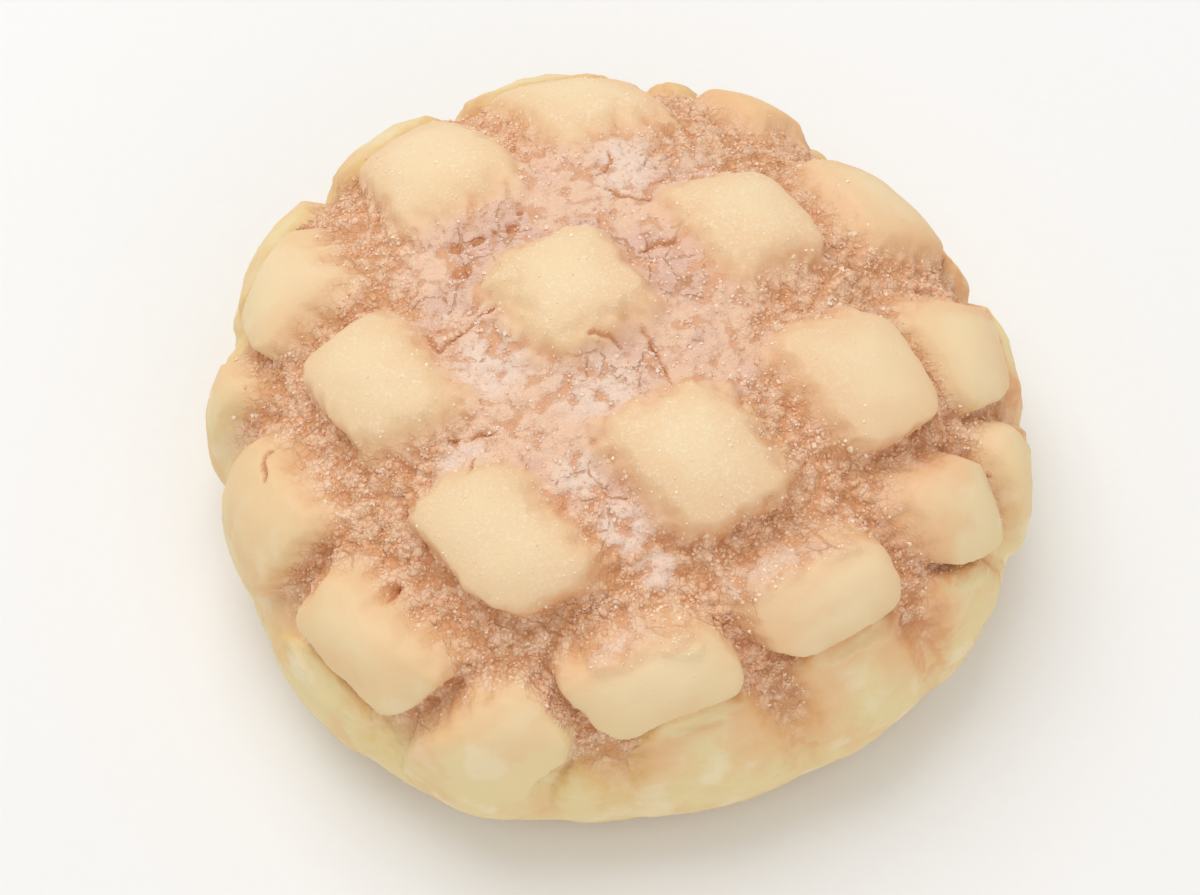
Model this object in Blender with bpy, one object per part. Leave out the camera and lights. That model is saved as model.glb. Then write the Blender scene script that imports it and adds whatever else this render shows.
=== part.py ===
"""A melon pan: a round sweet bun under a thick cookie crust.

The bun is one piece. Its dome is a superellipse turned about Z, its rim is tucked under to a flat
base, and its outline is a little uneven, as dough is. Two families of nearly straight cuts score
the crust into tiles. The tiles stand proud of the grooves, and those near the rim have slipped
downhill, so that their outer edges are steep. Everything is in metres, with +Z up and the origin
at the centre of the flat base.
"""

import math

import bmesh
import bpy
from mathutils import Matrix, Vector

# The dome, to the outer face of the tiles.
RADIUS = 0.0575
HEIGHT = 0.046
WIDEST_HEIGHT = 0.0147
BASE_RADIUS = 0.045
DOME_ROUNDNESS = 2.2
CROWN_ROUNDNESS = 2.17

# Unevenness of the outline: lobes around the bun, cosine share, sine share.
OUTLINE_WAVES = ((2, -0.003, -0.009), (3, 0.0185, -0.0045), (4, 0.0, -0.0094), (5, 0.001, 0.007))

# Each cut: its angle from +X in degrees, how far it passes from the centre, and its bow, which is
# the sideways drift over the square of the distance along the cut, in 1/m.
ROW_CUTS = (
    (28.0, 0.0500, -9.0),
    (28.0, 0.0240, -1.0),
    (27.0, -0.0050, 0.0),
    (29.5, -0.0340, 2.5),
    (29.0, -0.0495, 3.3),
)
COLUMN_CUTS = (
    (-50.0, -0.0570, 8.3),
    (-52.0, -0.0405, 3.0),
    (-52.0, -0.0170, 2.0),
    (-52.0, 0.0120, 0.0),
    (-56.0, 0.0360, -0.7),
    (-54.0, 0.0550, -8.0),
)

# The grooves: the depth at the back and at the front of the bun, and the half width of the bottom
# at a cut through the middle and at a cut along the rim.
GROOVE_DEPTH_BACK = 0.0030
GROOVE_DEPTH_FRONT = 0.0042
GROOVE_HALF_WIDTH = 0.0020
RIM_GROOVE_HALF_WIDTH = 0.0012

# The tiles: the width of the slope at their edge, the same for the edge that faces down the flank
# at the rim, and the low crown on top of each.
TILE_EDGE_WIDTH = 0.0048
RIM_LIP_WIDTH = 0.0042
TILE_CROWN = 0.0007

# The grooves get shallower down the flank, and end before the base.
FLANK_DEPTH_SHARE = 0.45
FLANK_BOTTOM_HEIGHT = 0.0150
FLANK_TOP_HEIGHT = 0.0270
GROOVE_END_HEIGHT = 0.0020
GROOVE_FADE_HEIGHT = 0.0120

# How far a tile slips downhill for each unit of its height, away from the middle of the bun.
TILE_SLIP = 0.15
SLIP_START_RADIUS = 0.020
SLIP_FULL_RADIUS = 0.045

# The mesh: divisions along each edge of the cube that is swollen into the bun, its turn about Z,
# which lays its grid along the cuts, and the angles from +Z of the ball that become the widest
# ring and the edge of the base.
CUBE_DIVISIONS = 30
CUBE_TURN = math.radians(33.0)
RING_ANGLE = math.radians(90.0)
BASE_ANGLE = math.radians(125.0)
STEEPEST_STRETCH = 0.35
SOFTENING = 0.4
SOFTENING_PASSES = 2
FLAT_TOLERANCE = 1e-6


def clear_scene():
    for item in list(bpy.data.objects):
        bpy.data.objects.remove(item, do_unlink=True)


def smoothstep(low, high, value):
    share = min(max((value - low) / (high - low), 0.0), 1.0)
    return share * share * (3.0 - 2.0 * share)


def outline(azimuth):
    """Radius of the uneven outline at an azimuth, as a share of the even one."""
    share = 1.0
    for lobes, cosine, sine in OUTLINE_WAVES:
        share += cosine * math.cos(lobes * azimuth) + sine * math.sin(lobes * azimuth)
    return share


def dome_point(direction):
    """Point of the smooth bun in a direction, and its reach in plan.

    The reach is the distance from the axis. Under the widest ring it keeps growing, so that a
    place below the rim is never mistaken for the place above it.
    """
    polar = direction.angle(Vector((0.0, 0.0, 1.0)))
    azimuth = math.atan2(direction.y, direction.x)
    if polar <= RING_ANGLE:
        turn = math.pi / 2 * polar / RING_ANGLE
        radius = RADIUS * math.sin(turn) ** (2 / DOME_ROUNDNESS)
        lift = max(math.cos(turn), 0.0) ** (2 / CROWN_ROUNDNESS)
        height = WIDEST_HEIGHT + (HEIGHT - WIDEST_HEIGHT) * lift
        reach = radius
    elif polar < BASE_ANGLE:
        turn = math.pi / 2 * (polar - RING_ANGLE) / (BASE_ANGLE - RING_ANGLE)
        radius = BASE_RADIUS + (RADIUS - BASE_RADIUS) * math.cos(turn)
        height = WIDEST_HEIGHT * (1.0 - math.sin(turn))
        reach = RADIUS + STEEPEST_STRETCH * WIDEST_HEIGHT * turn
    else:
        radius = BASE_RADIUS * (math.pi - polar) / (math.pi - BASE_ANGLE)
        height = 0.0
        reach = RADIUS + STEEPEST_STRETCH * WIDEST_HEIGHT * math.pi / 2
    across = Vector((math.cos(azimuth), math.sin(azimuth), 0.0)) * outline(azimuth)
    return across * radius + Vector((0.0, 0.0, height)), across * reach


def edge_drop(plan, normal, cut):
    """How far down the edge beside a cut a place lies, from 0 on a tile to 1 in the groove.

    A cut runs straight down into the bun, so on a steep flank the crust between a place and the
    cut is longer than it looks in plan.
    """
    angle, offset, bow = cut
    along_cut = Vector((math.cos(math.radians(angle)), math.sin(math.radians(angle)), 0.0))
    across_cut = Vector((-along_cut.y, along_cut.x, 0.0))
    along = plan.dot(along_cut)
    gap = plan.dot(across_cut) - offset - bow * along * along
    facing = across_cut - 2.0 * bow * along * along_cut
    lean = facing.normalized().dot(normal)
    stretch = max(math.sqrt(max(1.0 - lean * lean, 0.0)), STEEPEST_STRETCH)
    distance = abs(gap) / facing.length / stretch

    rim = smoothstep(0.0, RADIUS, abs(offset))
    half_width = GROOVE_HALF_WIDTH + (RIM_GROOVE_HALF_WIDTH - GROOVE_HALF_WIDTH) * rim
    slope = TILE_EDGE_WIDTH
    if gap * offset < 0.0:
        # On the middle's side of the cut, where the tile's lip hangs over the groove.
        half_width *= 1.0 - rim
        slope += (RIM_LIP_WIDTH - TILE_EDGE_WIDTH) * rim
    return min(max(1.0 - (distance - half_width) / slope, 0.0), 1.0)


def tile_height(plan, normal):
    """Height of the crust between the groove bottoms, 0, and the tops of the tiles, 1."""
    row_drop = max(edge_drop(plan, normal, cut) for cut in ROW_CUTS)
    column_drop = max(edge_drop(plan, normal, cut) for cut in COLUMN_CUTS)
    return smoothstep(0.0, 1.0, 1.0 - math.hypot(row_drop, column_drop))


def add_relief(bun, plans):
    """Press the grooves into the dome, and let the tiles on its flank slip downhill."""
    moves = {}
    for vertex in bun.verts:
        plan = plans[vertex]
        share = tile_height(plan, vertex.normal)
        front = smoothstep(RADIUS, -RADIUS, vertex.co.y)
        depth = GROOVE_DEPTH_BACK + (GROOVE_DEPTH_FRONT - GROOVE_DEPTH_BACK) * front
        flank = smoothstep(FLANK_BOTTOM_HEIGHT, FLANK_TOP_HEIGHT, vertex.co.z)
        depth *= FLANK_DEPTH_SHARE + (1.0 - FLANK_DEPTH_SHARE) * flank
        fade = smoothstep(GROOVE_END_HEIGHT, GROOVE_FADE_HEIGHT, vertex.co.z)
        slip = TILE_SLIP * smoothstep(SLIP_START_RADIUS, SLIP_FULL_RADIUS, plan.length)
        outward = Vector((plan.x, plan.y, 0.0))
        downhill = outward - outward.dot(vertex.normal) * vertex.normal
        if vertex.co.z < WIDEST_HEIGHT or downhill.length < FLAT_TOLERANCE:
            downhill = Vector((0.0, 0.0, -1.0))
        push = depth * (share - 1.0) + TILE_CROWN * share
        moves[vertex] = fade * (vertex.normal * push + downhill.normalized() * slip * depth * share)
    for vertex, move in moves.items():
        vertex.co += move


def centre_on_axis(bun):
    """Move the bun so that the middle of its length and of its width is on the Z axis."""
    across = [vertex.co.x for vertex in bun.verts]
    deep = [vertex.co.y for vertex in bun.verts]
    middle = Vector((min(across) + max(across), min(deep) + max(deep), 0.0)) / 2
    bmesh.ops.translate(bun, verts=bun.verts[:], vec=-middle)


def make_material(name, colour, roughness):
    material = bpy.data.materials.new(name)
    material.use_nodes = True
    shader = material.node_tree.nodes["Principled BSDF"]
    shader.inputs["Base Color"].default_value = (*colour, 1.0)
    shader.inputs["Roughness"].default_value = roughness
    return material


def make_bun():
    """The whole bun, as one closed skin: a cube swollen into the dome, then scored."""
    bun = bmesh.new()
    bmesh.ops.create_cube(bun, size=2.0)
    bmesh.ops.subdivide_edges(bun, edges=bun.edges[:], cuts=CUBE_DIVISIONS - 1, use_grid_fill=True)
    plans = {}
    turn = Matrix.Rotation(CUBE_TURN, 3, "Z")
    for vertex in bun.verts:
        # Equal steps across a face of the cube become equal angles on the ball.
        spread = Vector([math.tan(math.pi / 4 * value) for value in vertex.co])
        vertex.co, plans[vertex] = dome_point(turn @ spread.normalized())
    bun.normal_update()
    add_relief(bun, plans)
    crust = [vertex for vertex in bun.verts if vertex.co.z > FLAT_TOLERANCE]
    for _ in range(SOFTENING_PASSES):
        bmesh.ops.smooth_vert(bun, verts=crust, factor=SOFTENING, use_axis_x=True,
                              use_axis_y=True, use_axis_z=True)

    centre_on_axis(bun)

    underside = [face for face in bun.faces if all(v.co.z < FLAT_TOLERANCE for v in face.verts)]
    bmesh.ops.dissolve_faces(bun, faces=underside)
    bmesh.ops.recalc_face_normals(bun, faces=bun.faces[:])

    mesh = bpy.data.meshes.new("bun")
    bun.to_mesh(mesh)
    bun.free()
    mesh.shade_smooth()
    mesh.materials.append(make_material("crust", (0.86, 0.68, 0.42), 0.75))
    bpy.context.scene.collection.objects.link(bpy.data.objects.new("bun", mesh))


clear_scene()
make_bun()
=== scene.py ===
"""A melon pan: a sweet bun baked under a scored, sugared cookie crust."""

import math

import bmesh
import bpy
import numpy as np
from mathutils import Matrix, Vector, noise


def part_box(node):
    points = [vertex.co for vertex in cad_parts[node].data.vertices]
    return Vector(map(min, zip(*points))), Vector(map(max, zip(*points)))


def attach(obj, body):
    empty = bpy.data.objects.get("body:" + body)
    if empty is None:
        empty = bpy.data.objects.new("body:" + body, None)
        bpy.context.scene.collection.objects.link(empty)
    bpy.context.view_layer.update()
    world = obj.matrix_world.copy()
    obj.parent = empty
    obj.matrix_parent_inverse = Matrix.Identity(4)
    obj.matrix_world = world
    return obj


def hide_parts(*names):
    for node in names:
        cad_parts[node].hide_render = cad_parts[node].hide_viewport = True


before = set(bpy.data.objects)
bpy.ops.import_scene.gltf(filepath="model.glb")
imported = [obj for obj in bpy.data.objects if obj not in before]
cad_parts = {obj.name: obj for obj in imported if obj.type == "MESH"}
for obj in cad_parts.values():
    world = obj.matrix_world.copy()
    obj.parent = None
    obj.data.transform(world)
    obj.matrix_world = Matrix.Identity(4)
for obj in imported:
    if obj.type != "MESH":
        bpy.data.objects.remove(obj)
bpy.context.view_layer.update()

# ------------------------------------------------------------------------------------------------
# The crust.
# A ball of sweet dough is wrapped in a sheet of cookie dough, scored with a scraper in two
# directions and rolled in sugar. In the oven the bun swells, the sheet parts at the cuts, and the
# tiles between them slide down the flank over the toasted crumb of the grooves.
# ------------------------------------------------------------------------------------------------

MM = 0.001
bun_low, bun_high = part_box("bun")
BUN_RADIUS = (bun_high.x - bun_low.x + bun_high.y - bun_low.y) / 4
BUN_HEIGHT = (bun_high.z - bun_low.z) * 0.99
WIDEST_HEIGHT = BUN_HEIGHT * 0.32
BASE_RADIUS = BUN_RADIUS * 0.78
DOME_ROUNDNESS = 2.2
CROWN_ROUNDNESS = 2.17

# Unevenness of the outline: lobes around the bun, cosine share, sine share.
OUTLINE_WAVES = ((2, -0.003, -0.009), (3, 0.0185, -0.0045), (4, 0.0, -0.0094), (5, 0.001, 0.007))

# Each cut: its angle from +X in degrees, how far it passes from the middle of the bun, and how
# much it bows, as the sideways drift over the square of the distance along it, in 1/m.
ROW_CUTS = (
    (29.0, -49.5 * MM, 3.3),
    (29.5, -34.0 * MM, 2.5),
    (27.0, -5.0 * MM, 0.0),
    (28.0, 24.0 * MM, -1.0),
    (28.0, 53.5 * MM, -9.0),
)
COLUMN_CUTS = (
    (-50.0, -57.0 * MM, 4.0),
    (-52.0, -40.5 * MM, 3.0),
    (-52.0, -17.0 * MM, 2.0),
    (-52.0, 12.0 * MM, 0.0),
    (-56.0, 36.0 * MM, -0.7),
    (-54.0, 55.0 * MM, -8.0),
)

# How far each tile has drawn back from the cuts around it, in millimetres: from its lower row cut
# and its upper one, and from its left column cut and its right one. The rows run from the front,
# and the tiles of a row from the left.
TILE_INSETS = (
    (
        (0.3, 2.5, -1.0, 0.0),
        (-0.5, 3.4, 0.8, 0.3),
        (-1.0, 3.8, 2.2, 1.0),
        (0.0, 2.0, 3.5, 0.0),
        (1.0, 1.0, 1.0, 1.0),
    ),
    (
        (-0.5, 3.5, 1.5, 5.0),
        (3.0, 3.5, 2.0, 5.0),
        (2.5, 6.0, 4.0, 5.0),
        (1.5, 4.0, 2.5, 1.0),
        (0.0, 4.0, 0.5, 1.0),
    ),
    (
        (1.0, 4.0, 3.0, 3.5),
        (4.5, 2.0, 3.0, 4.5),
        (5.0, 5.0, 7.0, 3.0),
        (5.0, 4.5, 6.0, 1.5),
        (4.0, 4.0, 3.5, 1.0),
    ),
    (
        (1.0, 1.0, 8.0, 2.0),
        (2.5, 0.5, 0.0, 5.5),
        (6.0, 2.0, 3.0, 3.5),
        (8.5, 1.5, 2.0, 4.0),
        (4.0, 1.0, 4.0, 1.0),
    ),
)

# The skirt is the crust past the outermost cuts. Its pieces draw back from each other by the
# inset, and by the notch as well higher up. It stands at a share of the height of the tiles.
SKIRT_INSET = 1.4 * MM
SKIRT_NOTCH = 1.4 * MM
SKIRT_LEVEL_BACK = 1.0
SKIRT_LEVEL_FRONT = 0.5
SKIRT_CROWN_FRONT = 0.2

# The grooves, and the slopes at the edges of the tiles: a slope is wider where its tile has drawn
# back further. The slip is how far a tile slides downhill, as a share of the groove's depth.
GROOVE_DEPTH_BACK = 2.6 * MM
GROOVE_DEPTH_FRONT = 4.6 * MM
RIM_DEPTH_SHARE = 0.12
CRISP_EDGE_WIDTH = 1.2 * MM
EDGE_WIDTH_GROWTH = 1.1
TILE_CORNER_RADIUS = 4.5 * MM
TILE_CROWN = 1.8 * MM
TILE_SLIP = 0.5

# On a steep flank the crust is longer than its plan, up to one over this share of it.
STEEPEST_STRETCH = 0.35

# The distance that stands for no cut, or for nothing near.
OPEN_SIDE = 20.0 * MM

# Small tears where the sheet of cookie dough parted, patches where the sugar lies thickest, and
# crumbled ridges along the tops of two tiles, in millimetres on the plan. A place has a radius.
CRACKS = (
    ((-26.0, 1.5), (-25.0, -1.0), (-21.0, 2.5), (-16.5, 5.0)),
    ((4.0, 1.0), (5.5, -1.5), (6.5, -4.0), (7.5, -7.5)),
    ((-1.0, 26.5), (1.5, 25.0), (5.0, 24.5)),
    ((3.5, 14.5), (6.5, 16.5), (8.5, 16.0)),
    ((-1.0, 33.5), (-0.5, 32.0), (-3.0, 29.0)),
    ((-46.0, -11.0), (-45.5, -15.5)),
    ((-19.0, -18.0), (-19.0, -20.0)),
    ((-23.0, -14.5), (-20.5, -14.5), (-16.5, -14.0)),
    ((-3.5, -1.0), (-1.0, -0.5), (1.0, -1.5)),
)
PITS = (
    (-22.5, 17.0, 1.1),
    (-19.5, 18.0, 0.7),
    (-17.0, 19.0, 0.4),
    (-14.5, 20.0, 0.8),
    (-13.5, 22.5, 0.5),
    (-21.5, 12.5, 1.4),
    (-30.0, -34.5, 0.5),
)
SUGAR_PATCHES = (
    (-21.0, -19.0, 5.0),
    (-18.0, -3.0, 6.0),
    (-2.0, -8.0, 7.0),
    (-5.0, -21.0, 4.0),
    (1.0, -28.0, 4.0),
    (6.0, -34.0, 3.0),
    (2.0, 31.0, 6.0),
)
RIDGES = (
    ((16.5, -35.0), (23.5, -30.5), (30.0, -28.0)),
    ((-2.5, -43.5), (4.0, -41.0), (9.5, -41.0)),
)
CRACK_HALF_WIDTH = 0.15 * MM
TEAR_DEPTH = 0.8 * MM
TEAR_EDGES = (0.4 * MM, -0.3 * MM)
MEAN_PIT_RADIUS = 0.8 * MM
RIDGE_HEIGHT = 0.8 * MM
RIDGE_HALF_WIDTHS = (2.0 * MM, 0.5 * MM)

# Added to a length that may be nothing, before it divides.
TINY = 1e-9


def smoothstep(low, high, value):
    share = np.clip((value - low) / (high - low), 0.0, 1.0)
    return share * share * (3.0 - 2.0 * share)


def ripples(places, size, octaves=1):
    """Smooth noise from about -1 to 1, with waves of the given size and finer ones on top."""
    octave_shift = 17.3
    total = np.zeros(len(places))
    for octave in range(octaves):
        scaled = places * (2**octave / size) + octave_shift * octave
        total += np.array([noise.noise(place) for place in scaled.tolist()]) / 2**octave
    return total


def uneven(places, relief, octaves=1):
    """Ripples of a relief that is given as its height and the size of its waves."""
    height, size = relief
    return height * ripples(places, size, octaves)


def wobble(places, relief):
    """Two lots of the same relief, which move the places of a plan about."""
    return np.column_stack((uneven(places, relief), uneven(places + 1.0, relief)))


def lumps(places, size):
    """Packed round lumps: 1 at the middle of each, and 0 in the creases between them."""
    nearest = np.array([noise.voronoi(place)[0][0] for place in (places / size).tolist()])
    return np.clip(1.0 - nearest, 0.0, 1.0)


def outline(azimuth):
    """Radius of the uneven outline at an azimuth, as a share of the even one."""
    share = np.ones_like(azimuth)
    for lobes, cosine, sine in OUTLINE_WAVES:
        share += cosine * np.cos(lobes * azimuth) + sine * np.sin(lobes * azimuth)
    return share


def dome_profile(steps=400, base_weight=0.12):
    """The bun's half section from the top to the middle of the base.

    Gives the share of the ball's surface, counted from the top, that goes to each point, the
    point's radius and height, and its reach, which keeps growing below the widest ring. The flat
    base needs few corners, so its weight gives it a small share of the ball.
    """
    turn = np.linspace(0.0, math.pi / 2, steps)
    upper = BUN_RADIUS * np.sin(turn) ** (2 / DOME_ROUNDNESS)
    lift = np.clip(np.cos(turn), 0.0, 1.0) ** (2 / CROWN_ROUNDNESS)
    rise = WIDEST_HEIGHT + (BUN_HEIGHT - WIDEST_HEIGHT) * lift
    tuck = BASE_RADIUS + (BUN_RADIUS - BASE_RADIUS) * np.cos(turn)
    drop = WIDEST_HEIGHT * (1.0 - np.sin(turn))
    base = BASE_RADIUS * (1.0 - turn / (math.pi / 2))
    radius = np.concatenate((upper, tuck[1:], base[1:]))
    height = np.concatenate((rise, drop[1:], np.zeros(steps - 1)))
    below = BUN_RADIUS + STEEPEST_STRETCH * WIDEST_HEIGHT * turn[1:]
    reach = np.concatenate((upper, below, np.full(steps - 1, below[-1])))
    step = np.hypot(np.diff(radius), np.diff(height))
    weight = np.where(np.arange(len(step)) < 2 * steps - 2, 1.0, base_weight)
    area = np.cumsum(step * weight * (radius[1:] + radius[:-1]) / 2)
    return np.concatenate(([0.0], area / area[-1])), radius, height, reach


def ball_of_squares(divisions, turn):
    """A cube cut into a fine grid, and the direction of each corner on a ball."""
    cube = bmesh.new()
    bmesh.ops.create_cube(cube, size=2.0)
    bmesh.ops.subdivide_edges(cube, edges=cube.edges[:], cuts=divisions - 1, use_grid_fill=True)
    mesh = bpy.data.meshes.new("crust")
    cube.to_mesh(mesh)
    cube.free()
    corners = np.empty(len(mesh.vertices) * 3)
    mesh.vertices.foreach_get("co", corners)
    spread = np.tan(math.pi / 4 * corners.reshape(-1, 3))
    spread /= np.linalg.norm(spread, axis=1, keepdims=True)
    azimuth = np.arctan2(spread[:, 1], spread[:, 0]) + turn
    return mesh, spread[:, 2], azimuth


def across_cut(plan, normal, cut):
    """Distance over the crust to a cut, below zero on the lower or left side of it."""
    angle, offset, bow = cut
    facing = np.array((-math.sin(math.radians(angle)), math.cos(math.radians(angle))))
    along = plan @ np.array((facing[1], -facing[0]))
    gap = plan @ facing - offset - bow * along**2
    slope_x = facing[0] - 2.0 * bow * along * facing[1]
    slope_y = facing[1] + 2.0 * bow * along * facing[0]
    length = np.hypot(slope_x, slope_y)
    lean = (slope_x * normal[:, 0] + slope_y * normal[:, 1]) / length
    stretch = np.maximum(np.sqrt(np.clip(1.0 - lean**2, 0.0, 1.0)), STEEPEST_STRETCH)
    return gap / length / stretch


def strips(plan, normal, cuts):
    """The strip between two cuts that each place is in, and its distances to both of them."""
    distances = np.array([across_cut(plan, normal, cut) for cut in cuts])
    strip = np.sum(distances > 0.0, axis=0)
    nothing = np.full((1, len(plan)), OPEN_SIDE)
    distances = np.abs(np.vstack((nothing, distances, nothing)))
    lower = np.take_along_axis(distances, strip[None], axis=0)[0]
    upper = np.take_along_axis(distances, strip[None] + 1, axis=0)[0]
    return strip, lower, upper


def rim_facing(cuts, strip):
    """How much the lower and the upper side of each strip faces down to the rim, 0 to 1."""
    offsets = np.array([cut[1] for cut in cuts])
    lower = np.concatenate(([0.0], smoothstep(0.0, BUN_RADIUS, -offsets), [0.0]))
    upper = np.concatenate(([0.0], smoothstep(0.0, BUN_RADIUS, offsets), [0.0]))
    return lower[strip], upper[strip + 1]


def score(plan, normal, lip, notch):
    """Part the crust into tiles.

    Gives how far each place lies inside the rounded outline of its tile, the width of the slope
    at the tile's nearest edge, how high it is on the crown of the tile, from 0 to 1, and whether
    it is on the skirt, past the outermost cuts.
    """
    row, below, above = strips(plan, normal, ROW_CUTS)
    column, left, right = strips(plan, normal, COLUMN_CUTS)
    insets = np.zeros((len(ROW_CUTS) + 1, len(COLUMN_CUTS) + 1, 4))
    insets[1:-1, 1:-1] = TILE_INSETS
    # A piece of the skirt draws back from its neighbours on both sides, by one notch.
    insets[(0, -1), :, 2:] = 1.0
    insets[:, (0, -1), :2] = 1.0
    skirt = (row == 0) | (row == len(ROW_CUTS)) | (column == 0) | (column == len(COLUMN_CUTS))
    insets = insets[row, column].T * np.where(skirt, notch, MM)
    facing = np.array((*rim_facing(ROW_CUTS, row), *rim_facing(COLUMN_CUTS, column)))
    widths = CRISP_EDGE_WIDTH + EDGE_WIDTH_GROWTH * np.maximum(insets, 0.0)
    inside = np.array((below, above, left, right)) - insets - facing * lip

    across = np.minimum(inside[0], inside[1])
    along = np.minimum(inside[2], inside[3])
    across_width = np.where(inside[0] < inside[1], widths[0], widths[1])
    along_width = np.where(inside[2] < inside[3], widths[2], widths[3])
    across_short = np.maximum(TILE_CORNER_RADIUS - across, 0.0)
    along_short = np.maximum(TILE_CORNER_RADIUS - along, 0.0)
    rounded = TILE_CORNER_RADIUS - np.hypot(across_short, along_short)
    rounded = np.where(across_short + along_short > 0.0, rounded, np.minimum(across, along))
    share = across_short / (across_short + along_short + TINY)
    width = along_width + (across_width - along_width) * share

    half_across = np.maximum((inside[0] + inside[1]) / 2, MM)
    half_along = np.maximum((inside[2] + inside[3]) / 2, MM)
    across_crown = 1.0 - (1.0 - np.clip(across / half_across, 0.0, 1.0)) ** 2
    along_crown = 1.0 - (1.0 - np.clip(along / half_along, 0.0, 1.0)) ** 2
    return rounded, width, across_crown * along_crown, skirt


def distance_to_lines(plan, lines):
    """Distance from each point of the plan to the nearest of some bent lines."""
    nearest = np.full(len(plan), OPEN_SIDE)
    for line in lines:
        points = np.array(line) * MM
        for start, end in zip(points[:-1], points[1:]):
            run = end - start
            along = np.clip((plan - start) @ run / (run @ run), 0.0, 1.0)
            away = np.linalg.norm(plan - start - along[:, None] * run, axis=1)
            nearest = np.minimum(nearest, away)
    return nearest


def distance_to_places(plan, places):
    """Distance from each point of the plan to the nearest place, as a share of its radius."""
    nearest = np.full(len(plan), OPEN_SIDE / MM)
    for x, y, radius in places:
        away = np.linalg.norm(plan - np.array((x, y)) * MM, axis=1)
        nearest = np.minimum(nearest, away / (radius * MM))
    return nearest


crust_mesh, crust_polar, crust_azimuth = ball_of_squares(divisions=190, turn=math.radians(33.0))
profile_share, profile_radius, profile_height, profile_reach = dome_profile()
ball_share = (1.0 - crust_polar) / 2
crust_outline = outline(crust_azimuth)
crust_radius = np.interp(ball_share, profile_share, profile_radius) * crust_outline
crust_reach = np.interp(ball_share, profile_share, profile_reach) * crust_outline
crust_height = np.interp(ball_share, profile_share, profile_height)
round_x, round_y = np.cos(crust_azimuth), np.sin(crust_azimuth)
smooth_dome = np.column_stack((crust_radius * round_x, crust_radius * round_y, crust_height))
plan = np.column_stack((crust_reach * round_x, crust_reach * round_y))

crust_mesh.vertices.foreach_set("co", smooth_dome.ravel())
crust_mesh.update()
normal = np.empty(len(smooth_dome) * 3)
crust_mesh.vertices.foreach_get("normal", normal)
normal = normal.reshape(-1, 3)

# The sugared patch on top: its middle on the plan, how far it reaches along X and along Y, and the
# shares of this reach over which the frosting and the dust thin out. The same for the small
# patches, as shares of their radius.
SUGAR_MIDDLE = (-3.0 * MM, 6.0 * MM)
SUGAR_REACH = (24.0 * MM, 30.0 * MM)
FROST_EDGES = (1.3, 0.8)
DUST_EDGES = (1.9, 1.1)
SUGAR_PATCH_EDGES = (1.2, 0.5)

# Heights between which the grooves deepen, their crumb and its toasting set in, and the notches
# of the skirt widen, and those below which all relief fades out towards the base.
DEEP_HEIGHTS = (11.0 * MM, 27.0 * MM)
CRUMB_HEIGHTS = (17.0 * MM, 29.0 * MM)
TOAST_HEIGHTS = (13.0 * MM, 31.0 * MM)
NOTCH_HEIGHTS = (16.0 * MM, 30.0 * MM)
FADE_HEIGHTS = (2.0 * MM, 12.0 * MM)

# Distances from the middle between which the tiles begin to slip, places from left to right
# between which the bun is browned, and widths between which a tile's edge looks soft.
SLIP_REACHES = (20.0 * MM, 45.0 * MM)
BROWNED_PLACES = (-20.0 * MM, 45.0 * MM)
SOFT_EDGE_WIDTHS = (1.5 * MM, 4.0 * MM)

# Each relief of the dough, as its height and the size of its waves: on the tiles and the skirt, in
# the crumb of the grooves, and along the outlines of the tiles, of the tears and of the clumps.
# The height of a ragged edge is a share of the edge's width.
TILE_RELIEF = (0.4 * MM, 11.0 * MM)
SKIRT_RELIEF = (0.7 * MM, 9.0 * MM)
CRUMB_RELIEF = (0.4 * MM, 1.4 * MM)
GROOVE_RELIEF = (0.7 * MM, 4.0 * MM)
TILE_DRIFT = (0.9 * MM, 15.0 * MM)
TEAR_DRIFT = (0.5 * MM, 2.0 * MM)
CLUMP_DRIFT = (0.4 * MM, 1.5 * MM)
RAGGED_EDGE = (0.2, 3.0 * MM)
RIDGE_DRIFT = 0.8 * MM
PATCHY_SIZE = 8.0 * MM
SKIRT_FLATTENING = (1.0, 1.0, 2.5)

# The clumps of the crumb: their size, the share of them that is sunk in, and their height.
CLUMP_SIZE = 2.4 * MM
CLUMP_LEVEL = 0.55
TOASTED_CLUMP_HEIGHT = 1.6 * MM
FROSTED_CLUMP_HEIGHT = 0.7 * MM
CRUMB_START = 0.7

# Where the sugar lies thick and pale, and where the grooves run.
from_sugar = np.hypot(*((plan - SUGAR_MIDDLE) / SUGAR_REACH).T)
patchy = ripples(smooth_dome, PATCHY_SIZE, octaves=2)
frost = smoothstep(*FROST_EDGES, from_sugar + 0.25 * patchy)
flank = smoothstep(*DEEP_HEIGHTS, crust_height)
front = smoothstep(BUN_RADIUS, -BUN_RADIUS, smooth_dome[:, 1])
depth = GROOVE_DEPTH_BACK + (GROOVE_DEPTH_FRONT - GROOVE_DEPTH_BACK) * front
depth *= RIM_DEPTH_SHARE + (1.0 - RIM_DEPTH_SHARE) * flank
fade = smoothstep(*FADE_HEIGHTS, crust_height)
lip = TILE_SLIP * depth * smoothstep(*SLIP_REACHES, crust_reach)
notch = SKIRT_INSET + SKIRT_NOTCH * smoothstep(*NOTCH_HEIGHTS, crust_height)
drifted = plan + wobble(smooth_dome, TILE_DRIFT)
inside, edge_width, crown, skirt = score(drifted, normal, lip, notch)
inside += uneven(smooth_dome, RAGGED_EDGE, octaves=2) * edge_width
tile = smoothstep(0.0, 1.0, 0.5 + inside / edge_width)
groove = (1.0 - smoothstep(0.0, CRUMB_START, tile)) * smoothstep(*CRUMB_HEIGHTS, crust_height)
softness = smoothstep(*SOFT_EDGE_WIDTHS, edge_width)

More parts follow.
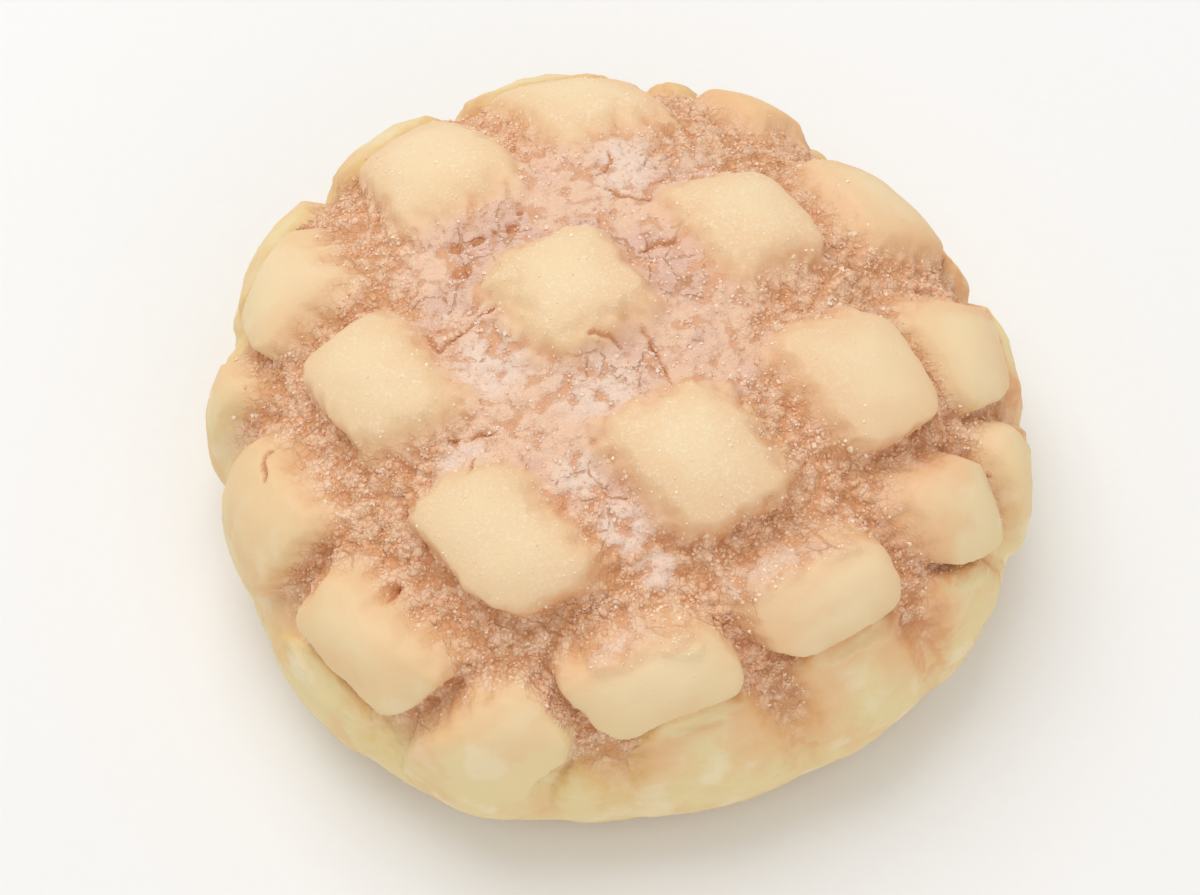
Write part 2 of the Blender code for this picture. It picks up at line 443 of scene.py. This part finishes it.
# Where the crumb of the grooves is toasted and clumped, where the tiles are dusted with sugar, and
# where the dough is torn, ridged, white with sugar or browned.
toast = (1.0 - 0.6 * frost) * smoothstep(*TOAST_HEIGHTS, crust_height)
dust = smoothstep(*DUST_EDGES, from_sugar) * flank
clump = lumps(smooth_dome + uneven(smooth_dome, CLUMP_DRIFT)[:, None], CLUMP_SIZE)
torn = plan + wobble(smooth_dome, TEAR_DRIFT)
tear = distance_to_lines(torn, CRACKS) - CRACK_HALF_WIDTH
tear = np.minimum(tear, (distance_to_places(torn, PITS) - 1.0) * MEAN_PIT_RADIUS)
ridge = smoothstep(*RIDGE_HALF_WIDTHS, distance_to_lines(plan, RIDGES) + RIDGE_DRIFT * patchy)
from_patch = distance_to_places(plan, SUGAR_PATCHES)
white = smoothstep(*SUGAR_PATCH_EDGES, from_patch + 0.3 * patchy)
white = np.maximum(white, 0.6 * ridge)
frost = np.maximum(frost, white)
browned = smoothstep(*BROWNED_PLACES, smooth_dome[:, 0])

# How far the crust is pushed out of the smooth dome, or into it.
skirt_level = SKIRT_LEVEL_BACK + (SKIRT_LEVEL_FRONT - SKIRT_LEVEL_BACK) * front
skirt_crown = 1.0 - (1.0 - SKIRT_CROWN_FRONT) * front
clump_height = TOASTED_CLUMP_HEIGHT + (FROSTED_CLUMP_HEIGHT - TOASTED_CLUMP_HEIGHT) * frost
push = depth * (np.where(skirt, skirt_level, 1.0) * tile - 1.0)
push += TILE_CROWN * crown * tile * np.where(skirt, skirt_crown, 1.0)
push += uneven(smooth_dome, TILE_RELIEF, octaves=3) * tile
push += uneven(smooth_dome * SKIRT_FLATTENING, SKIRT_RELIEF, octaves=4) * skirt
push += groove * (clump - CLUMP_LEVEL) * clump_height
push += groove * uneven(smooth_dome, CRUMB_RELIEF)
push += groove * uneven(smooth_dome, GROOVE_RELIEF)
push += RIDGE_HEIGHT * ridge * (0.4 + clump)
push -= TEAR_DEPTH * smoothstep(*TEAR_EDGES, tear)

outward = np.column_stack((round_x, round_y, np.zeros(len(plan))))
downhill = outward - np.sum(outward * normal, axis=1)[:, None] * normal
downhill[crust_height < WIDEST_HEIGHT] = (0.0, 0.0, -1.0)
downhill /= np.linalg.norm(downhill, axis=1)[:, None] + TINY
move = normal * push[:, None] + downhill * (lip * tile * ~skirt)[:, None]
crust_points = smooth_dome + fade[:, None] * move

# The bun stands with the middle of its length and of its width over the frame's origin.
middle = (crust_points.max(axis=0) + crust_points.min(axis=0)) / 2
middle[2] = 0.0
crust_points -= middle
crust_mesh.vertices.foreach_set("co", crust_points.ravel())
crust_mesh.shade_smooth()
crust_mesh.update()

# What the finish of the crust needs to know of each place, with lengths in millimetres.
INSIDE_KEPT = (-8.0 * MM, 12.0 * MM)
TEAR_KEPT = (-2.0 * MM, 4.0 * MM)
RIDGE_COVER = 1.5 * MM
# Painted shade on the skirt under the tiles' lips: its reach below a lip, and where it sets in.
LIP_SHADE_REACH = (3.0 * MM, 0.2 * MM)
LIP_SHADE_HEIGHTS = (9.0 * MM, 22.0 * MM)
lip_shade_band = smoothstep(*LIP_SHADE_REACH, inside) * smoothstep(*LIP_SHADE_HEIGHTS, crust_height)
for name, values in {
    "inside": np.clip(inside - RIDGE_COVER * ridge, *INSIDE_KEPT) / MM,
    "softness": softness,
    "frost": frost,
    "toast": toast,
    "dust": dust,
    "crown": crown,
    "clump": clump,
    "white": white,
    "browned": browned,
    "painted_lip_shade": skirt * lip_shade_band,
    "tear": np.clip(tear, *TEAR_KEPT) / MM,
}.items():
    layer = crust_mesh.attributes.new(name, "FLOAT", "POINT")
    layer.data.foreach_set("value", values.astype(np.float32))

# The plain tops of the tiles need fewer faces than the crumb between them and the tears.
CRUST_FACES = 198000
DETAIL_LEVELS = 10
BESIDE_TEAR = (2.0 * MM, 0.8 * MM)
crust = bpy.data.objects.new("crust", crust_mesh)
bpy.context.scene.collection.objects.link(crust)
detail = crust.vertex_groups.new(name="detail")
busy = np.maximum(groove, smoothstep(*BESIDE_TEAR, tear))
for level in range(1, DETAIL_LEVELS + 1):
    chosen = np.flatnonzero(np.ceil(busy * DETAIL_LEVELS) == level)
    detail.add(chosen.tolist(), level / DETAIL_LEVELS, "REPLACE")
thin_out = crust.modifiers.new("thin_out", "DECIMATE")
thin_out.ratio = CRUST_FACES / (2 * len(crust_mesh.polygons))
thin_out.vertex_group = "detail"
thin_out.invert_vertex_group = True
thin_out.vertex_group_factor = 2.0
thinned = crust.evaluated_get(bpy.context.evaluated_depsgraph_get())
crust.data = bpy.data.meshes.new_from_object(thinned)
crust.modifiers.clear()


class Value:
    """A shader socket that works in sums, so that 1 - mask adds the Math nodes for it."""

    def __init__(self, finish, socket):
        self.finish = finish
        self.socket = socket

    def combine(self, operation, first, second):
        return self.finish.node("ShaderNodeMath", {"operation": operation}, {0: first, 1: second})

    def __add__(self, other):
        return self.combine("ADD", self, other)

    __radd__ = __add__

    def __mul__(self, other):
        return self.combine("MULTIPLY", self, other)

    __rmul__ = __mul__

    def __sub__(self, other):
        return self.combine("SUBTRACT", self, other)

    def __rsub__(self, other):
        return self.combine("SUBTRACT", other, self)


class Finish:
    """A material on its way: its nodes, its Principled shader and the place on the piece."""

    def __init__(self, name, **constants):
        self.material = bpy.data.materials.new(name)
        self.material.use_nodes = True
        self.shader = self.material.node_tree.nodes["Principled BSDF"]
        self.set(**{key.replace("_", " "): value for key, value in constants.items()})
        self.place = self.node("ShaderNodeTexCoord", output="Object")

    def fill(self, socket, value):
        """Link a socket to a shader value, or set it to a number or a colour."""
        if isinstance(value, Value):
            self.material.node_tree.links.new(value.socket, socket)
        elif isinstance(value, tuple) and socket.type == "RGBA":
            socket.default_value = (*value, 1.0)
        else:
            socket.default_value = value

    def set(self, **sockets):
        for name, value in sockets.items():
            self.fill(self.shader.inputs[name], value)

    def node(self, kind, settings=None, sockets=None, output=0):
        """Any node, from its type, its settings, and the values or links of its sockets."""
        made = self.material.node_tree.nodes.new(kind)
        for name, value in (settings or {}).items():
            setattr(made, name, value)
        for key, value in (sockets or {}).items():
            self.fill(made.inputs[key], value)
        return Value(self, made.outputs[output])

    def mix(self, mask, plain, painted):
        sockets = {0: mask, 6: plain, 7: painted}
        return self.node("ShaderNodeMix", {"data_type": "RGBA"}, sockets, output=2)

    def step(self, low, high, value):
        settings = {"interpolation_type": "SMOOTHSTEP"}
        sockets = {"Value": value, "From Min": low, "From Max": high}
        return self.node("ShaderNodeMapRange", settings, sockets)

    def layer(self, name):
        return self.node("ShaderNodeAttribute", {"attribute_name": name}, output="Fac")

    def speckle(self, size, detail=2.0, roughness=0.5, output="Fac"):
        sockets = {"Vector": self.place, "Scale": 1.0 / size}
        sockets |= {"Detail": detail, "Roughness": roughness}
        return self.node("ShaderNodeTexNoise", None, sockets, output)

    def cracks(self, place, size):
        sockets = {"Vector": place, "Scale": 1.0 / size}
        return self.node("ShaderNodeTexVoronoi", {"feature": "DISTANCE_TO_EDGE"}, sockets)


CREAM = (0.93, 0.71, 0.43)
DEEP_CREAM = (0.88, 0.63, 0.36)
SUGARED_CREAM = (0.96, 0.82, 0.60)
PEACH = (0.90, 0.61, 0.36)
DEEP_PEACH = (0.87, 0.54, 0.27)
GOLDEN = (0.84, 0.50, 0.27)
SKIRT_YELLOW = (0.86, 0.70, 0.37)
SKIRT_PEACH = (0.86, 0.61, 0.31)
SKIRT_PALE = (0.92, 0.79, 0.53)
# Painted shade under the lips of the tiles, yellow on the left and brown on the browned right.
YELLOW_LIP_SHADE = (0.84, 0.57, 0.20)
BROWN_LIP_SHADE = (0.80, 0.43, 0.19)
TOASTED = (0.78, 0.40, 0.19)
TOASTED_PLATE = (0.93, 0.64, 0.43)
BROWNED = (0.62, 0.33, 0.18)
SUGARED_BED = (0.80, 0.42, 0.24)
SUGAR_PLATE = (0.90, 0.61, 0.43)
MAUVE_PLATE = (0.80, 0.53, 0.42)
SUGAR_WHITE = (0.91, 0.71, 0.58)
CREASE_BROWN = (0.64, 0.31, 0.15)
TORN_BROWN = (0.66, 0.29, 0.13)
BASE_BROWN = (0.56, 0.31, 0.13)

paint = Finish("baked_crust", Roughness=0.6)
inside_here = paint.layer("inside")
frost_here = paint.layer("frost")
toast_here = paint.layer("toast")
soft_here = paint.layer("softness")
browned_here = paint.layer("browned")
fine = paint.speckle(0.4 * MM, detail=3.0)
grainy = paint.speckle(0.5 * MM, detail=3.0, roughness=0.7)
medium = paint.speckle(1.6 * MM, detail=3.0)
patch = paint.speckle(3.0 * MM, detail=5.0, roughness=0.6)
spotty = paint.speckle(6.0 * MM, detail=4.0)
broad = paint.speckle(9.0 * MM)
cloudy = paint.speckle(11.0 * MM, detail=4.0)
up = paint.node("ShaderNodeSeparateXYZ", None, {0: paint.place}, output="Z")

# The plain dough of the tiles, and the yellower dough of the skirt.
# A painted highlight makes the crowns of the tiles lighter than their deeper cream edges.
crown_highlight = paint.step(0.15, 0.85, paint.layer("crown") + 0.8 * (broad - 0.5))
cream = paint.mix(crown_highlight, DEEP_CREAM, CREAM)
skirt_colour = paint.mix(paint.step(0.48, 0.62, cloudy), SKIRT_YELLOW, SKIRT_PEACH)
pale_spots = paint.step(0.50, 0.66, spotty) * 0.7
skirt_colour = paint.mix(pale_spots, skirt_colour, SKIRT_PALE)
low_down = paint.step(40.0 * MM, 18.0 * MM, up + 8.0 * MM * (broad - 0.5))
cream = paint.mix(low_down, cream, skirt_colour)

# The blush towards the soft edges of the tiles, deeper beside toasted and browned grooves.
blushing = soft_here * (0.15 + 0.85 * paint.step(0.0, 0.5, toast_here))
blushing = blushing * (0.5 + 0.5 * paint.step(0.0, 0.25, browned_here))
from_edge = inside_here + 3.0 * (medium - 0.5) + 3.0 * (broad - 0.5)
peach = paint.mix(paint.step(40.0 * MM, 30.0 * MM, up), PEACH, DEEP_PEACH)
cream = paint.mix(blushing * paint.step(9.0, 1.5, from_edge), cream, peach)
cream = paint.mix(blushing * paint.step(2.5, -1.0, from_edge), cream, GOLDEN)

# The dust of fine sugar on the tiles, and painted shade on the skirt under the lips of the tiles.
dust_here = paint.layer("dust") * paint.step(0.0, 3.0, inside_here)
dusting = paint.step(0.5, 0.66, grainy) * (0.25 + 0.5 * paint.step(0.4, 0.6, patch))
cream = paint.mix(dust_here * dusting, cream, SUGARED_CREAM)
# Painted shade under the lips, mottled, and stronger and browner where the bun is browned.
painted_lip_shade = paint.layer("painted_lip_shade") * (0.45 + paint.step(0.35, 0.65, medium))
lip_shade = paint.mix(browned_here, YELLOW_LIP_SHADE, BROWN_LIP_SHADE)
cream = paint.mix(painted_lip_shade * (0.45 + 0.4 * browned_here), cream, lip_shade)

# The crumb of the grooves: pale plates on a toasted bed or a sugared one.
lumpy = 0.6 * patch + 0.4 * paint.layer("clump")
plate = paint.step(0.42, 0.56, lumpy + 0.08 * frost_here + 0.12 * (fine - 0.5))
bed_colour = paint.mix(frost_here, TOASTED, SUGARED_BED)
mauve_patch = paint.step(0.42, 0.6, broad + 0.4 * (medium - 0.5))
sugar_plate = paint.mix(mauve_patch, SUGAR_PLATE, MAUVE_PLATE)
plate_colour = paint.mix(frost_here, TOASTED_PLATE, sugar_plate)
plate_colour = paint.mix(paint.layer("white"), plate_colour, SUGAR_WHITE)
groove_colour = paint.mix(plate, bed_colour, plate_colour)
groove_colour = paint.mix(browned_here * toast_here * 0.22, groove_colour, BROWNED)

# The creases between the plates, and the longer cracks that cross them here and there.
wander = paint.speckle(1.0 * MM, output="Color")
bend = {0: wander, 1: (0.8 * MM, 0.8 * MM, 0.8 * MM), 2: paint.place}
bent = paint.node("ShaderNodeVectorMath", {"operation": "MULTIPLY_ADD"}, bend)
crease = paint.step(0.14, 0.0, paint.cracks(bent, 1.2 * MM)) * (0.5 - 0.42 * frost_here)
cracked_patch = paint.step(0.52, 0.62, broad + 0.5 * (medium - 0.5))
crack = paint.step(0.05, 0.01, paint.cracks(bent, 4.5 * MM)) * cracked_patch
groove_colour = paint.mix(crease, groove_colour, CREASE_BROWN)
groove_colour = paint.mix(crack * 0.8, groove_colour, CREASE_BROWN)
toasted_enough = paint.step(0.1, 0.9, toast_here + 0.4 * frost_here)
groove_colour = paint.mix(toasted_enough, cream, groove_colour)

# The edge of the tiles is crisp where the dough tore, and frayed where it drew back.
ragged = inside_here + 0.8 * (medium - 0.5) + 0.4 * (fine - 0.5)
crisp_cover = paint.step(-0.5, 0.5, ragged)
soft_cover = paint.step(-2.2, 1.8, ragged + 1.6 * (medium - 0.5) + 2.5 * (patch - 0.5))
on_tile = crisp_cover + soft_here * (soft_cover - crisp_cover)
colour = paint.mix(on_tile, groove_colour, cream)

# The dark of the tears, and the brown of the base, where the bun stood on the tray.
in_tear = paint.step(0.30, -0.1, paint.layer("tear") + 0.5 * (fine - 0.5))
colour = paint.mix(in_tear, colour, TORN_BROWN)
on_tray = paint.step(4.0 * MM, 0.5 * MM, up + 1.5 * MM * (medium - 0.5))
colour = paint.mix(on_tray, colour, BASE_BROWN)
paint.set(**{"Base Color": colour})

# The fine relief: plates, creases and cracks in the grooves, and grains of dust on the tiles.
relief = plate - crease - 1.5 * crack + 0.8 * fine
crumbly = (1.0 - on_tile) * relief * paint.step(0.1, 0.8, toast_here + frost_here)
height = crumbly + 0.25 * fine + 0.6 * dust_here * grainy
bump = {"Strength": 0.6, "Distance": 0.35 * MM, "Height": height}
paint.set(Normal=paint.node("ShaderNodeBump", None, bump))
crust.data.materials.append(paint.material)
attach(crust, "root")
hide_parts("bun")

# ------------------------------------------------------------------------------------------------
# The sugar.
# Grains of granulated sugar stuck to the cookie dough before baking. They lie thick and pale over
# the middle of the bun, thinner in the toasted grooves, and as a light dust on the tiles.
# ------------------------------------------------------------------------------------------------

crust_mesh.calc_loop_triangles()
face_corners = np.empty(len(crust_mesh.loop_triangles) * 3, dtype=np.int32)
crust_mesh.loop_triangles.foreach_get("vertices", face_corners)
face_corners = face_corners.reshape(-1, 3)
face_normals = np.empty(len(face_corners) * 3)
crust_mesh.loop_triangles.foreach_get("normal", face_normals)
face_normals = face_normals.reshape(-1, 3)
face_areas = np.empty(len(face_corners))
crust_mesh.loop_triangles.foreach_get("area", face_areas)


def scatter(count, likelihood, seed):
    """Places on the crust, drawn where the likelihood of a corner is high, and their normals."""
    draw = np.random.default_rng(seed)
    weight = face_areas * likelihood[face_corners].mean(axis=1)
    picked = draw.choice(len(face_corners), size=count, p=weight / weight.sum())
    share = draw.dirichlet((1.0, 1.0, 1.0), size=count)
    places = np.einsum("ij,ijk->ik", share, crust_points[face_corners[picked]])
    return places, face_normals[picked], face_corners[picked, 0], draw


def turned(count, draw):
    """Random turns, as one 3 by 3 matrix each."""
    spin = draw.normal(size=(count, 4))
    w, x, y, z = (spin / np.linalg.norm(spin, axis=1, keepdims=True)).T
    rows = (
        (1 - 2 * (y * y + z * z), 2 * (x * y - w * z), 2 * (x * z + w * y)),
        (2 * (x * y + w * z), 1 - 2 * (x * x + z * z), 2 * (y * z - w * x)),
        (2 * (x * z - w * y), 2 * (y * z + w * x), 1 - 2 * (x * x + y * y)),
    )
    return np.array(rows).transpose(2, 0, 1)


def joined_copies(name, shape_points, shape_faces, places, turns, sizes, layers):
    """One mesh of many small turned copies of a shape, each with its own size and values."""
    sized_points = shape_points * sizes[:, None, None]
    points = np.einsum("nij,npj->npi", turns, sized_points) + places[:, None]
    count, corners = points.shape[:2]
    faces = shape_faces[None] + (np.arange(count) * corners)[:, None, None]
    faces = faces.reshape(-1, shape_faces.shape[1])
    mesh = bpy.data.meshes.new(name)
    mesh.from_pydata(points.reshape(-1, 3).tolist(), [], faces.tolist())
    for layer_name, values in layers.items():
        layer = mesh.attributes.new(layer_name, "FLOAT", "POINT")
        layer.data.foreach_set("value", np.repeat(values, corners).astype(np.float32))
    piece = bpy.data.objects.new(name, mesh)
    bpy.context.scene.collection.objects.link(piece)
    return piece


ENDS = (-0.5, 0.5)
CUBE_CORNERS = np.array([(x, y, z) for x in ENDS for y in ENDS for z in ENDS])
CUBE_FACES = np.array(
    ((0, 1, 3, 2), (4, 6, 7, 5), (0, 4, 5, 1), (2, 3, 7, 6), (0, 2, 6, 4), (1, 5, 7, 3))
)

# How the sizes of the grains spread between the least and the largest, how much a grain is
# stretched along its sides and worn at its corners, how far it stands out of the dough as a share
# of its size, how bright it gets, and how far inside a tile it takes the colour of the tile.
GRAIN_SIZE_SPREAD = (1.6, 3.0)
GRAIN_STRETCH = (0.7, 1.25)
GRAIN_WEAR = 0.07
GRAIN_STAND = (-0.45, 0.1)
GRAIN_BRIGHTNESS = 0.8
GRAIN_ON_TILE = (-1.0 * MM, 0.5 * MM)


def sugar_grains(name, count, likelihood, smallest, largest, seed):
    places, normals, near, draw = scatter(count, likelihood, seed)
    sizes = smallest + (largest - smallest) * draw.beta(*GRAIN_SIZE_SPREAD, size=count)
    shapes = CUBE_CORNERS * draw.uniform(*GRAIN_STRETCH, size=(count, 1, 3))
    shapes = shapes + draw.normal(scale=GRAIN_WEAR, size=(count, len(CUBE_CORNERS), 3))
    places = places + normals * (sizes * draw.uniform(*GRAIN_STAND, size=count))[:, None]
    tones = GRAIN_BRIGHTNESS * draw.uniform(size=count) ** 3
    on_tile = smoothstep(*GRAIN_ON_TILE, inside[near])
    layers = {"tone": tones, "frost": frost[near], "on_tile": on_tile}
    return joined_copies(name, shapes, CUBE_FACES, places, turned(count, draw), sizes, layers)


# Most grains lie in patches of the high grooves, and few among the dust and along the ridges.
HIGH_GROOVE_HEIGHTS = (20.0 * MM, 31.0 * MM)
COVER_PATCH_SIZE = 4.0 * MM
high_up = smoothstep(*HIGH_GROOVE_HEIGHTS, crust_height)
patches = smoothstep(-0.2, 0.6, ripples(smooth_dome, COVER_PATCH_SIZE, octaves=2))
grain_cover = groove * high_up * (1.0 - 0.4 * frost) * (0.1 + 0.9 * patches)
fine_cover = grain_cover + 0.05 * dust * high_up + 0.25 * ridge

SUGAR_ON_TOAST = (0.89, 0.58, 0.38)
SUGAR_ON_FROST = (0.89, 0.63, 0.48)
SUGAR_ON_TILE = (0.96, 0.81, 0.58)
CLEAR_SUGAR = (0.96, 0.84, 0.70)

sugar = Finish("sugar", Roughness=0.3, IOR=1.5)
sugar_tint = sugar.mix(sugar.layer("frost"), SUGAR_ON_TOAST, SUGAR_ON_FROST)
sugar_tint = sugar.mix(sugar.layer("on_tile"), sugar_tint, SUGAR_ON_TILE)
sugar.set(**{"Base Color": sugar.mix(sugar.layer("tone"), sugar_tint, CLEAR_SUGAR)})
for grains in (
    sugar_grains("sugar_fine", 7000, fine_cover, 0.16 * MM, 0.42 * MM, seed=3),
    sugar_grains("sugar_coarse", 1600, grain_cover, 0.35 * MM, 0.6 * MM, seed=5),
):
    grains.data.materials.append(sugar.material)
    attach(grains, "root")

# ------------------------------------------------------------------------------------------------
# The crumbs.
# Bits of cookie dough that broke from the tiles as they parted, and baked in the grooves: pale
# and sugared in the middle of the bun, toasted brown towards the rim.
# ------------------------------------------------------------------------------------------------

lump = bmesh.new()
bmesh.ops.create_icosphere(lump, subdivisions=1, radius=0.5)
LUMP_POINTS = np.array([tuple(vertex.co) for vertex in lump.verts])
LUMP_FACES = np.array([[vertex.index for vertex in face.verts] for face in lump.faces])
lump.free()

# The same for a crumb as for a grain, and how light and dark the crumbs come out.
CRUMB_SIZE_SPREAD = (1.3, 3.5)
CRUMB_STRETCH = (0.6, 1.2)
CRUMB_WEAR = 0.06
CRUMB_STAND = (-0.4, -0.1)
MEAN_CRUMB_TONE = 0.5
CRUMB_TONE_SPREAD = 0.28


def crumb_bits(name, count, likelihood, smallest, largest, seed):
    places, normals, near, draw = scatter(count, likelihood, seed)
    sizes = smallest + (largest - smallest) * draw.beta(*CRUMB_SIZE_SPREAD, size=count)
    shapes = LUMP_POINTS * draw.uniform(*CRUMB_STRETCH, size=(count, 1, 3))
    shapes = shapes + draw.normal(scale=CRUMB_WEAR, size=(count, len(LUMP_POINTS), 3))
    places = places + normals * (sizes * draw.uniform(*CRUMB_STAND, size=count))[:, None]
    tones = np.clip(draw.normal(MEAN_CRUMB_TONE, CRUMB_TONE_SPREAD, size=count), 0.0, 1.0)
    layers = {"tone": tones, "frost": frost[near]}
    piece = joined_copies(name, shapes, LUMP_FACES, places, turned(count, draw), sizes, layers)
    piece.data.shade_smooth()
    return piece


DARK_CRUMB = (0.78, 0.43, 0.23)
LIGHT_CRUMB = (0.88, 0.57, 0.36)
SUGARED_CRUMB = (0.85, 0.55, 0.38)
PALE_SUGARED_CRUMB = (0.89, 0.66, 0.51)

crumb_finish = Finish("cookie_crumb", Roughness=0.7)
crumb_tone = crumb_finish.layer("tone")
toasted_crumb = crumb_finish.mix(crumb_tone, DARK_CRUMB, LIGHT_CRUMB)
frosted_crumb = crumb_finish.mix(crumb_tone, SUGARED_CRUMB, PALE_SUGARED_CRUMB)
crumb_colour = crumb_finish.mix(crumb_finish.layer("frost"), toasted_crumb, frosted_crumb)
crumb_finish.set(**{"Base Color": crumb_colour})
crumb_cover = groove**2 * high_up * (1.0 - 0.8 * frost)
crumbs = crumb_bits("crumbs", 6000, crumb_cover, 0.4 * MM, 1.7 * MM, seed=7)
crumbs.data.materials.append(crumb_finish.material)
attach(crumbs, "root")

# ------------------------------------------------------------------------------------------------
# The table, the light and the camera.
# A white sheet of paper under a soft light from above and behind, with a weaker one from the
# front right to fill the shadows, seen from a seat at the table.
# ------------------------------------------------------------------------------------------------

scene = bpy.context.scene
scene.view_settings.view_transform = "Standard"

FLOOR_HALF = 3.0
FLOOR_TURNS = ((-1, -1), (1, -1), (1, 1), (-1, 1))
PAPER_WHITE = (0.95, 0.95, 0.95)
PAPER_FIBRE = (0.93, 0.93, 0.93)
floor_mesh = bpy.data.meshes.new("floor")
floor_corners = [(x * FLOOR_HALF, y * FLOOR_HALF, 0.0) for x, y in FLOOR_TURNS]
floor_mesh.from_pydata(floor_corners, [], [(0, 1, 2, 3)])
floor = bpy.data.objects.new("floor", floor_mesh)
scene.collection.objects.link(floor)
paper = Finish("white_paper", Roughness=0.9)
fibres = paper.speckle(2.0 * MM, detail=4.0)
paper.set(**{"Base Color": paper.mix(fibres, PAPER_FIBRE, PAPER_WHITE)})
floor_mesh.materials.append(paper.material)

ROOM_COLOUR = (1.0, 0.985, 0.96, 1.0)
ROOM_STRENGTH = 0.62
room = bpy.data.worlds.new("studio")
room.use_nodes = True
room_light = room.node_tree.nodes["Background"]
room_light.inputs["Color"].default_value = ROOM_COLOUR
room_light.inputs["Strength"].default_value = ROOM_STRENGTH
scene.world = room

def softbox(name, place, aim, size, power):
    light = bpy.data.lights.new(name, "AREA")
    light.shape = "DISK"
    light.size = size
    light.energy = power
    lamp = bpy.data.objects.new(name, light)
    lamp.location = place
    lamp.rotation_euler = (aim - place).to_track_quat("-Z", "Y").to_euler()
    scene.collection.objects.link(lamp)


bun_middle = Vector((0.0, 0.0, BUN_HEIGHT / 2))
softbox("key", Vector((-0.25, 0.42, 1.0)), bun_middle, size=1.0, power=5.5)
softbox("fill", Vector((0.5, -1.0, 0.7)), bun_middle, size=1.0, power=1.9)

CAMERA_HEIGHT_ANGLE = math.radians(60.0)
CAMERA_DISTANCE = 8.0 * BUN_RADIUS
SENSOR_WIDTH = 36.0
LENS_PER_SENSOR = 2.74
AIM_LEFT = 2.0 * MM
AIM_DOWN = 5.0 * MM
back = Vector((0.0, -math.cos(CAMERA_HEIGHT_ANGLE), math.sin(CAMERA_HEIGHT_ANGLE)))
above = Vector((0.0, math.sin(CAMERA_HEIGHT_ANGLE), math.cos(CAMERA_HEIGHT_ANGLE)))
aim = bun_middle - Vector(middle) - Vector((AIM_LEFT, 0.0, 0.0)) - above * AIM_DOWN
camera_data = bpy.data.cameras.new("camera")
camera_data.sensor_width = SENSOR_WIDTH
camera_data.lens = SENSOR_WIDTH * LENS_PER_SENSOR
camera = bpy.data.objects.new("camera", camera_data)
camera.location = aim + back * CAMERA_DISTANCE
camera.rotation_euler = (-back).to_track_quat("-Z", "Y").to_euler()
scene.collection.objects.link(camera)
scene.camera = camera
